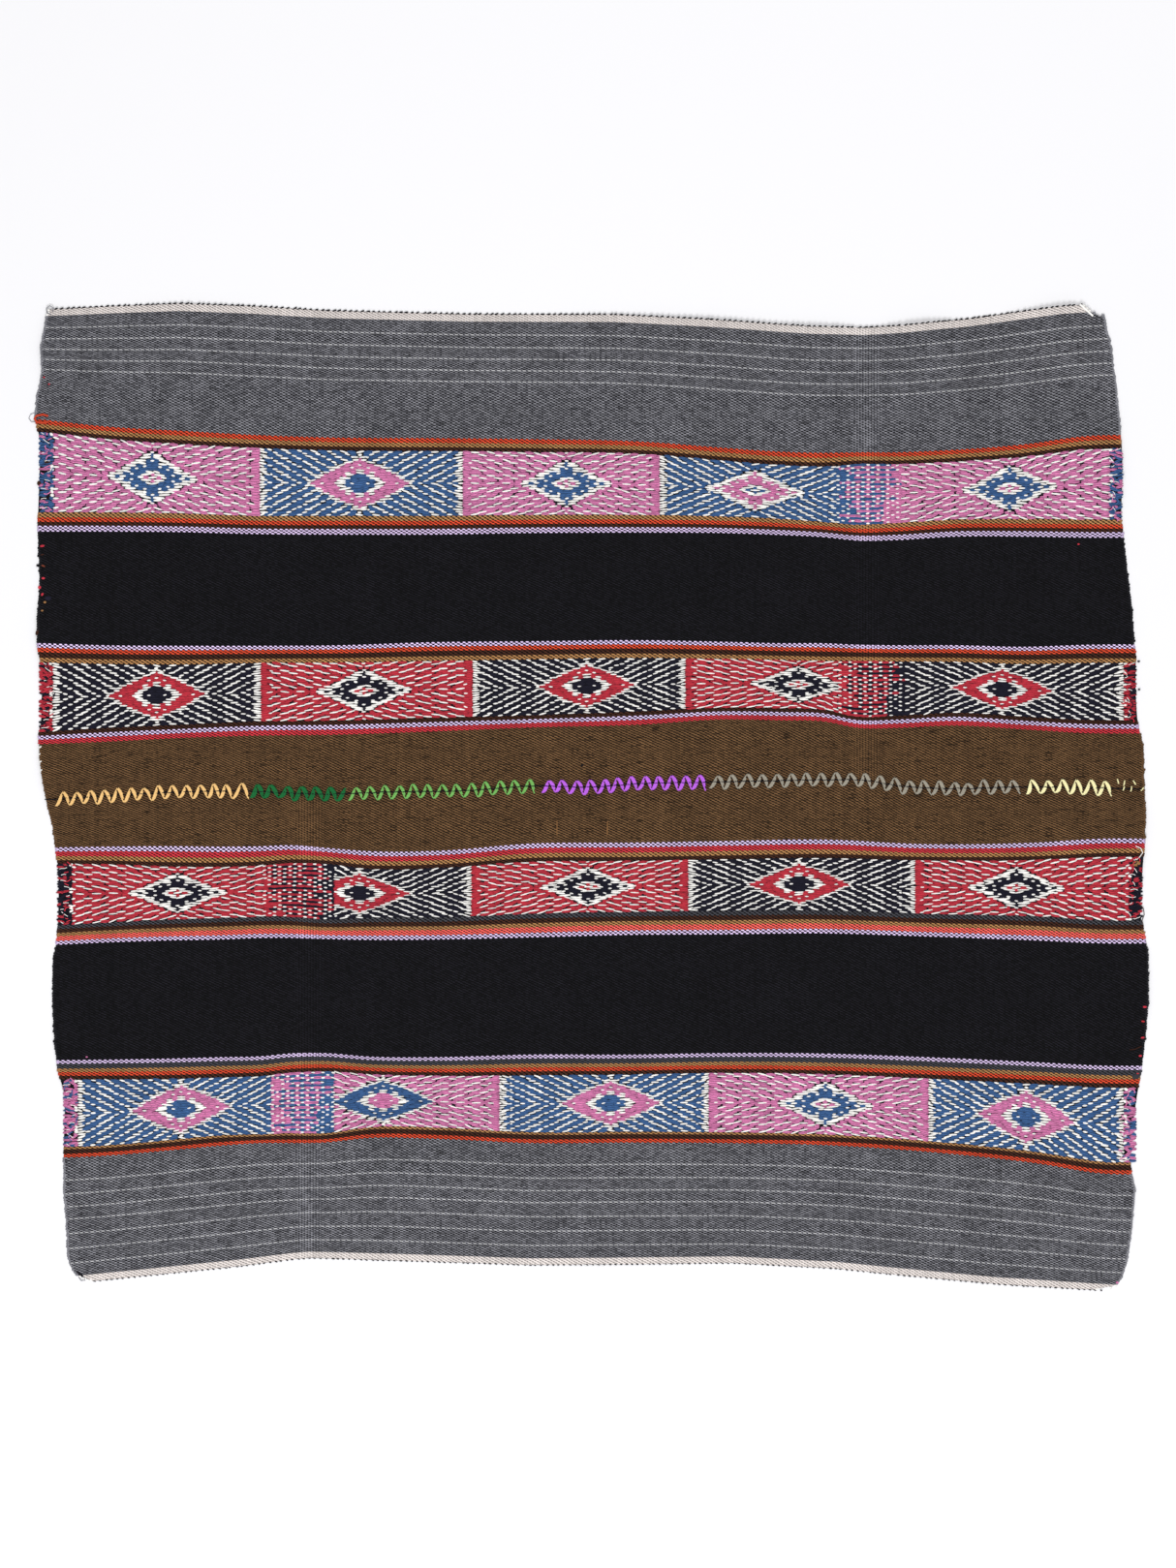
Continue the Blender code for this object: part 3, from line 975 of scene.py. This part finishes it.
def grain_shape():
    """A hump of yarn about one long and one wide, lying along X."""
    bm = bmesh.new()
    bmesh.ops.create_uvsphere(bm, u_segments=6, v_segments=4, radius=GRAIN_RADIUS)
    bmesh.ops.rotate(bm, verts=bm.verts, matrix=Matrix.Rotation(math.pi / 2.0, 3, "Y"))
    return mesh_of(bm, "grain")


GRAIN = grain_shape()


def grains(name, humps, materials):
    """Many humps of yarn as one piece. A hump is
    (x, y, height above the lifted cloth, half length, half width, half height, turn, colour)."""
    bm = bmesh.new()
    for _ in humps:
        bm.from_mesh(GRAIN)
    mesh = mesh_of(bm, name)
    values = np.array([hump[:7] for hump in humps], float)
    shape = coordinates(GRAIN)[None]
    local = shape * values[:, None, 3:6]
    mid_x, mid_y, rise, turn = values[:, [0, 1, 2, 6]].T[:, :, None]
    x = mid_x + local[..., 0] * np.cos(turn) - local[..., 1] * np.sin(turn)
    y = mid_y + local[..., 0] * np.sin(turn) + local[..., 1] * np.cos(turn)
    z = np.maximum(lift(x, y) + rise + local[..., 2], FLOOR_CLEARANCE)
    points = np.stack([x, y, z], axis=-1)
    mesh.vertices.foreach_set("co", points.astype(np.float32).ravel())
    kinds = list(materials)
    numbers = np.array([kinds.index(hump[7]) for hump in humps], np.int32)
    mesh.polygons.foreach_set("material_index", np.repeat(numbers, len(GRAIN.polygons)))
    shades = np.random.default_rng(len(humps)).random(len(humps))
    point_values(mesh, "shade", np.repeat(shades, len(GRAIN.vertices)))
    point_values(mesh, "across", np.tile(shape[0, :, 1], len(humps)))
    mesh.update()
    return finished(name, mesh, materials.values())


def ground_letter(comb, away, row):
    """White or main colour of the herringbone around a diamond: combed lines, or rows of dashes."""
    if comb:
        return "W" if (away - COMB_PERIOD * row / 3.0 - COMB_PHASE) % COMB_PERIOD < COMB_SPAN else "M"
    if row % 3 == 1:
        return "." if away % HATCH_PERIOD == 2 else "M"
    start = 4 if row % 3 == 0 else 1
    return "W" if (away - start) % HATCH_PERIOD < FLOAT_SPAN else "M"


def meeting_letters(wefts, row, chance):
    """The weave where two working ends met: every other row keeps its colour longer."""
    letters = ""
    change = wefts * chance.uniform(*MEETING_CHANGES[row % 2])
    white_share = FEW_WHITES if chance.random() < FEW_WHITES_CHANCE else MANY_WHITES
    for weft in range(wefts):
        turn = "S" if weft > change else "M"
        if (weft + 2 * (row % 2)) % 4 == 0 and chance.random() < white_share:
            turn = "W"
        letters += turn
    return letters


def end_letters(wefts, inner, chance):
    """The last wefts of a band: short floats of either colour, a few white, some dark gaps."""
    letters = ""
    turn = "M"
    for weft in range(wefts):
        if weft % 2 == 0 or chance.random() < END_CHANGE:
            turn = chance.choice(list(END_LETTERS), p=list(END_LETTERS.values()))
        letters += turn
    if chance.random() < END_WHITE:
        letters = letters[:inner] + "W" + letters[inner + 1:]
    return letters


def block_letters(blocks, number, row, chance):
    """The colour letter at each weft of a block, in one row. Small letters are the diamond's."""
    start, end, own, _, kind, middle, spacing = blocks[number]
    wefts = round((end - start) / spacing)
    away_row = abs(row - MIDDLE_ROW)
    if kind == "ends":
        return end_letters(wefts, wefts - 1 if start < 0.0 else 0, chance)
    if kind == "meeting":
        return meeting_letters(wefts, row, chance)
    chart = DIAMONDS[kind]
    centre = round((middle - start) / (end - start) * wefts)
    comb = own in COMB_COLOURS
    beside = [blocks[number + step][4] for step in (-1, 1)]
    unedged = ("meeting",) if comb else ("meeting", "ends")
    left_edge, right_edge = [0 if near in unedged else BLOCK_EDGE + row % 2 for near in beside]
    letters = ""
    for weft in range(wefts):
        away = abs(weft - centre)
        if away_row < len(chart) and away < len(chart[away_row]):
            letters += chart[away_row][away]
        elif weft < left_edge or wefts - 1 - weft < right_edge:
            letters += "W" if comb else "M"
        else:
            letters += ground_letter(comb, away, away_row)
    return letters


def runs_of(letters, row, span):
    """Split a row into floats: start weft, length, letter."""
    found = []
    start = 0
    for letter, alike in groupby(letters):
        end = start + len(list(alike))
        cuts = [start, end]
        if end - start > span + 1:
            first = 1 + (row * 2) % span
            cuts = [start] + list(range(start + first, end, span)) + [end]
        if letter != ".":
            found += [(a, b - a, letter) for a, b in zip(cuts, cuts[1:]) if b > a]
        start = end
    return found


def blocks_of(band):
    """Start x, end x, own colour, second colour, kind, diamond middle x, weft spacing."""
    start, rows = BAND_BLOCKS[band]
    blocks = []
    for end, own, kind, middle, spacing in rows:
        blocks.append((start, end, own, SECOND_COLOUR[own], kind, middle, spacing))
        start = end
    return blocks


def float_size(letter, kind, own, white_beside):
    """A float's half width as a share of its row, and how far it reaches over its neighbours."""
    comb = own in COMB_COLOURS
    if letter not in "Ww":
        width = RING_WIDTH if letter == "s" else COLOUR_WIDTH
        over = FLOAT_OVERLAP
    elif letter == "w":
        width = OUTLINE_WIDTHS[kind] + WHITE_SPREAD * white_beside
        over = WHITE_OVERLAP
    else:
        width = COMB_WIDTH if comb or kind == "meeting" else WHITE_WIDTH
        over = COMB_OVERLAP if kind in DIAMONDS and comb else WHITE_OVERLAP
    return END_WIDTH if kind == "ends" else width, over


def band_humps(band):
    """Every warp float of a patterned band, as grains() takes them."""
    panel, stretch, top, foot, _ = BAND_PLACES[band]
    chance = np.random.default_rng(7)
    found = []
    blocks = blocks_of(band)
    for number, block in enumerate(blocks):
        rows = [block_letters(blocks, number, row, chance) for row in range(BAND_ROWS)]
        pitch = (block[1] - block[0]) / len(rows[0])
        for row, letters in enumerate(rows):
            share = top + (foot - top) * (row + 0.5) / BAND_ROWS
            beside = [rows[other] for other in (row - 1, row + 1) if 0 <= other < BAND_ROWS]
            for first, length, letter in runs_of(letters, row, FLOAT_SPAN):
                place = first + length // 2
                white_beside = sum(other[place] in "Ww" for other in beside)
                x = block[0] + (first + 0.5 * length) * pitch
                found.append((x, share, length * pitch, white_beside, letter, block))

    x = np.array([entry[0] for entry in found]) + chance.normal(0.0, PLACE_PLAY, len(found))
    share = np.array([entry[1] for entry in found])
    y = panel.height(stretch, share, x)
    ahead, behind = [panel.height(stretch, share, x + away) for away in (SLOPE_REACH, -SLOPE_REACH)]
    width = panel.width(stretch, 0.0, 1.0, x)
    wander = chance.normal(0.0, 1.0, (len(found), 5))
    humps = []
    for k, (_, _, length, white_beside, letter, block) in enumerate(found):
        _, _, own, second, kind, middle, _ = block
        white = letter in "Ww"
        half_width, over = float_size(letter, kind, own, white_beside)
        tilt = 0.0
        if kind in DIAMONDS and abs(share[k] - 0.5) > 0.5 / BAND_ROWS:
            tilt = RING_TILT if letter.islower() else HATCH_TILT if white else COLOUR_TILT
            tilt *= math.copysign(1.0, (x[k] - middle) * (share[k] - 0.5) * (foot - top) * -1.0)
        loose = TURN_PLAY["ends" if kind == "ends" else "white" if white else "colour"]
        across, longer, wider, higher = [share * amount for share, amount in zip(FLOAT_PLAY, wander[k])]
        humps.append((
            x[k],
            y[k] + across,
            MID_HEIGHT + (WHITE_RISE if white else 0.0),
            (0.5 * length + over) * (1.0 + longer),
            width[k] / BAND_ROWS * half_width * (1.0 + wider),
            FLOAT_HALF_HEIGHT * (1.0 + higher),
            math.atan2(ahead[k] - behind[k], 2.0 * SLOPE_REACH) + tilt + loose * wander[k, 4],
            {"W": "float_white", "M": own, "S": second}[letter.upper()],
        ))
    return humps


def strands(name, routes, radius, materials):
    """Lengths of yarn as one piece. A route is its yarn and a list of (x, y, z, thickness share)."""
    curve = bpy.data.curves.new(name + "_line", "CURVE")
    curve.dimensions = "3D"
    curve.bevel_depth = radius
    curve.bevel_resolution = 1
    curve.use_fill_caps = True
    kinds = list(materials)
    for kind in kinds:
        curve.materials.append(materials[kind])
    for kind, route in routes:
        spline = curve.splines.new("POLY")
        spline.points.add(len(route) - 1)
        spline.material_index = kinds.index(kind)
        for point, (x, y, z, share) in zip(spline.points, route):
            point.co = (x, y, z, 1.0)
            point.radius = share
    holder = put_in_scene(name + "_line", curve)
    bpy.context.view_layer.update()
    seen = holder.evaluated_get(bpy.context.evaluated_depsgraph_get())
    mesh = bpy.data.meshes.new_from_object(seen)
    mesh.name = name
    bpy.data.objects.remove(holder, do_unlink=True)
    while mesh.uv_layers:
        mesh.uv_layers.remove(mesh.uv_layers[0])
    # Painted shade and light: the sides of a strand are painted darker than its top, and its top lighter,
    # by how far each point faces up.
    facing = coordinates(mesh, "normal")[:, 2]
    point_values(mesh, "shade", PAINTED_SIDE_SHADE + (PAINTED_TOP_LIGHT - PAINTED_SIDE_SHADE) * np.clip(facing, 0.0, 1.0))
    point_values(mesh, "across", np.ones(len(mesh.vertices)))
    return finished(name, mesh)


def plied(path):
    """The two plies of a yarn that follows path, rows of x, y, z and thickness share."""
    run = np.gradient(path[:, :2], axis=0)
    run /= np.linalg.norm(run, axis=1)[:, None]
    steps = np.linalg.norm(np.diff(path[:, :3], axis=0), axis=1)
    lengths = np.concatenate([[0.0], np.cumsum(steps)])
    routes = []
    for start in (0.0, math.pi):
        angle = start + math.tau * lengths / PLY_PITCH
        across = PLY_OFFSET * np.cos(angle) * path[:, 3]
        up = PLY_FLATNESS * PLY_OFFSET * np.sin(angle) * path[:, 3]
        x = path[:, 0] - run[:, 1] * across
        y = path[:, 1] + run[:, 0] * across
        routes.append(list(zip(x, y, path[:, 2] + up, path[:, 3])))
    return routes


def laid_on_seam(points):
    """Plied yarn lying on the cloth along points measured from the joint."""
    path = np.array(points)
    path[:, 1] += joint_line(path[:, 0])
    path[:, 2] += lift(path[:, 0], path[:, 1]) + STITCH_BED
    return plied(path)


def stitch_routes(first_x, last_x, tips, thick):
    """A length of zigzag seam yarn. More passes thicken each leg from its tip to the joint."""
    chance = np.random.default_rng(tips)
    tip_x = np.linspace(first_x, last_x, tips) + chance.normal(0.0, TIP_PLAY[0], tips)
    reach = STITCH_REACH + chance.normal(0.0, TIP_PLAY[1], tips)
    zigzag = []
    routes = []
    for tip in range(tips - 1):
        side = 1.0 if tip % 2 else -1.0
        passes = [[] for _ in STITCH_PASSES]
        for step in range(STITCH_STEPS + 1):
            t = step / STITCH_STEPS
            x = tip_x[tip] + (tip_x[tip + 1] - tip_x[tip]) * t
            bend = ZIGZAG_BEND[0] * (1.0 - 2.0 * t) + ZIGZAG_BEND[1] * math.cos(math.pi * t)
            y = side * (reach[tip] + (reach[tip + 1] - reach[tip]) * t) * bend
            rise = STITCH_LOW + STITCH_RISE * math.sqrt(max(0.0, math.sin(math.pi * t)))
            if step < STITCH_STEPS or tip == tips - 2:
                zigzag.append((x, y, rise, thick * ZIGZAG_THICKNESS))
            if t <= PASS_END:
                for points, (shift, height, up) in zip(passes, STITCH_PASSES):
                    along = shift * thick * math.sin(math.pi * (0.3 + 0.6 * t / PASS_END))
                    points.append((x + along, y * height - side * 0.2, rise * (1.0 - t) + up,
                                   thick * (1.2 - 0.45 * t)))
        for points in passes:
            routes += laid_on_seam(points)
    return laid_on_seam(zigzag) + routes


def tail_routes():
    routes = []
    for x, foot, head, lean in TAIL_STITCHES:
        y = np.linspace(foot, head, 5)
        along = (y - foot) / (head - foot)
        rise = TAIL_RISE * np.sin(math.pi * along)
        points = zip(x + lean * (along - 0.5), y - joint_line(x), rise, np.full(len(y), ZIGZAG_THICKNESS))
        routes += laid_on_seam(list(points))
    return routes


def joint_thread():
    """The dark thread that draws the two panels together. It lies over the yarn in its middle part."""
    x = np.arange(*THREAD_RUN)
    chance = np.random.default_rng(11)
    over = (x > THREAD_OVER[0]) & (x < THREAD_OVER[1]) | (chance.random(len(x)) < THREAD_CHANCE)
    y = joint_line(x) + chance.normal(0.0, THREAD_PLAY[0], len(x))
    z = lift(x, y) + np.where(over, THREAD_HIGH, THREAD_LOW)
    return [("black", list(zip(x, y, z, 1.0 + chance.normal(0.0, THREAD_PLAY[1], len(x)))))]


def edge_humps(panel):
    """Warp ends as small loops along both short edges, in each stripe's own yarn."""
    chance = np.random.default_rng(21)
    humps = []
    for stretch, start, end, yarn, _ in panel.stripes:
        if yarn == "band":
            continue
        for edge, out in ((0, -1.0), (1, 1.0)):
            width = float(panel.width(stretch, start, end, panel.side(stretch, start, edge)))
            count = max(1, round(width / LOOP_SPACING))
            for k in range(count):
                inset, longer = [chance.normal(0.0, play) for play in LOOP_PLAY[:2]]
                share = start + (end - start) * (k + 0.5) / count
                place = panel.side(stretch, share, edge) - out * (LOOP_INSET + inset)
                y = float(panel.height(stretch, share, place))
                half_width = 0.5 * width / count + LOOP_OVERLAP
                humps.append((place, y, MID_HEIGHT, LOOP_HALF_LENGTH + longer, half_width,
                              LOOP_HALF_HEIGHT, chance.normal(0.0, LOOP_PLAY[2]),
                              EDGE_COLOURS.get(yarn, yarn)))
    return humps


def selvedge_humps(panel, first_x, last_x, tilt, size):
    """Dark weft turning round the outer selvedge."""
    chance = np.random.default_rng(31)
    humps = []
    for x in np.arange(first_x, last_x, TURN_SPACING):
        along, longer, lean = [chance.normal(0.0, play) for play in WEFT_PLAY]
        x = float(x) + along
        y = float(panel.line(0, x)) + math.copysign(TURN_OUT, tilt)
        humps.append((x, y, MID_HEIGHT + TURN_LIFT, size * (1.0 + longer), TURN_SHAPE * size,
                      TURN_HALF_HEIGHT, tilt + lean, "black"))
    return humps


def stray_humps(panel):
    """The panel's share of the small stitches and knots."""
    humps = []
    for x, y, length, width, turn, yarn in STRAY_YARN:
        if (y > joint_line(x)) == (panel is UPPER):
            half_height = STRAY_HALF_HEIGHT + STRAY_SWELL * width
            humps.append((x, y, MID_HEIGHT + STRAY_LIFT, 0.5 * length, 0.5 * width, half_height,
                          math.radians(turn), yarn))
    return humps


def curled_ends(panel, stretch, yarns):
    """Fine ends of yarn curling over the last wefts of a band."""
    chance = np.random.default_rng(17)
    routes = []
    for edge, out in ((0, -1.0), (1, 1.0)):
        for k in range(CURLED_ENDS):
            share = (k + chance.uniform(*CURL_SPREAD)) / CURLED_ENDS
            x = panel.side(stretch, share, edge) - out * chance.uniform(*CURL_INSET)
            y = float(panel.height(stretch, share, x))
            angle = (math.pi if out < 0.0 else 0.0) + chance.normal(0.0, CURL_AIM)
            curl = chance.uniform(*CURL_BEND)
            thick = CURL_THICK if k % 3 else CURL_THIN
            points = []
            for _ in range(chance.integers(*CURL_POINTS)):
                z = CURL_HEIGHT + float(lift(x, y)) + chance.uniform(*CURL_PLAY)
                points.append((x, y, z, thick))
                x += CURL_STEP * math.cos(angle)
                y += CURL_STEP * math.sin(angle)
                angle += curl + chance.normal(0.0, CURL_WANDER)
            routes.append((yarns[k % len(yarns)], points))
    return routes


def stray_routes(panel):
    routes = []
    for yarn, share, points in STRAY_THREADS:
        if (points[0][1] > 0.0) == (panel is UPPER):
            routes.append((yarn, [(x, y, z + float(lift(x, y)), share) for x, y, z in points]))
    for owner, stretch, _, _, yarns in BAND_PLACES.values():
        if owner is panel:
            routes += curled_ends(panel, stretch, [yarn for yarn in EDGE_YARNS if yarn in yarns])
    return routes


def floor():
    bm = bmesh.new()
    bmesh.ops.create_grid(bm, x_segments=1, y_segments=1, size=0.5 * FLOOR_SIDE)
    mesh = mesh_of(bm, "floor")
    mesh.materials.append(new_material("pale_floor", FLOOR_LOOKS)[0])
    piece = put_in_scene("floor", mesh)


def soft_light(name, place, side, power):
    """A square lamp that points at the middle of the cloth."""
    data = bpy.data.lights.new(name, "AREA")
    data.shape = "SQUARE"
    data.size = side
    data.energy = power
    lamp = put_in_scene(name, data)
    lamp.location = place
    lamp.rotation_euler = (-Vector(place)).to_track_quat("-Z", "Y").to_euler()


def studio():
    """Soft light from the foot of the cloth, and a plain bright surround."""
    for lamp in LAMPS:
        soft_light(*lamp)
    world = bpy.data.worlds.new("surround")
    world.use_nodes = True
    back = world.node_tree.nodes["Background"]
    back.inputs["Color"].default_value = (1.0, 1.0, 1.0, 1.0)
    back.inputs["Strength"].default_value = SURROUND
    bpy.context.scene.world = world
    bpy.context.scene.view_settings.view_transform = "Standard"


def camera():
    data = bpy.data.cameras.new("camera")
    data.lens = CAMERA_LENS
    data.sensor_width = CAMERA_SENSOR
    data.sensor_fit = "AUTO"
    data.clip_end = CAMERA_FAR
    made = put_in_scene("camera", data)
    made.location = [value * MM for value in CAMERA_PLACE]
    bpy.context.scene.camera = made


def make_cloth():
    uppers = cloth("cloth_upper", UPPER, stripe_materials(*UPPER_WEAVE))
    lowers = cloth("cloth_lower", LOWER, stripe_materials(*LOWER_WEAVE))
    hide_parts("panel_upper")
    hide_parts("panel_lower")
    for piece in (uppers, lowers):
        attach(piece, "root")
    return uppers, lowers


def own_piece(piece):
    """A piece of the cloth or of its seam, riding on the cloth's one body."""
    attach(piece, "root")
    return piece


def make_bands():
    wools = {name: yarn_wool("wool_" + name, dye(name), split=1.0) for name in SECOND_COLOUR}
    wools["float_white"] = yarn_wool("wool_float_white", dye("float_white"))
    made = {}
    for band, place in BAND_PLACES.items():
        piece = grains("floats_" + band, band_humps(band), {name: wools[name] for name in place[4]})
        made[band] = own_piece(piece)
    return made


def make_seam():
    made = []
    for name, first_x, last_x, tips, thick in SEAM_YARNS:
        colour = dye("seam_grey" if name == "grey" else name)
        material = yarn_wool("wool_seam_" + name, colour, SEAM_PLY_PITCH)
        routes = stitch_routes(first_x, last_x, tips, thick)
        if name == "pale_yellow":
            routes += tail_routes()
        routes = [(name, route) for route in routes]
        piece = strands("stitch_" + name, routes, PLY_RADIUS, {name: material})
        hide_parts("seam_" + name)
        made.append(own_piece(piece))
    return made


def make_edges():
    """Loops round the edges, stray yarn, and the thread along the joint."""
    wools = {name: yarn_wool("edge_" + name, dye(name)) for name in EDGE_YARNS}
    uppers = edge_humps(UPPER) + selvedge_humps(UPPER, *UPPER_TURNS) + stray_humps(UPPER)
    lowers = edge_humps(LOWER) + selvedge_humps(LOWER, *LOWER_TURNS) + stray_humps(LOWER)
    return (
        [own_piece(grains("loops_upper", uppers, wools)),
         own_piece(strands("threads_upper", stray_routes(UPPER), THREAD_SIZE, wools)),
         own_piece(strands("joint_thread", joint_thread(), THREAD_RADIUS, {"black": wools["black"]}))],
        [own_piece(grains("loops_lower", lowers, wools)),
         own_piece(strands("threads_lower", stray_routes(LOWER), THREAD_SIZE, wools))],
    )


camera()
studio()
floor()
upper_cloth, lower_cloth = make_cloth()
floats = make_bands()
seam = make_seam()
upper_edges, lower_edges = make_edges()
[floats["band_1"], floats["band_2"]] + seam + upper_edges
[floats["band_3"], floats["band_4"]] + lower_edges
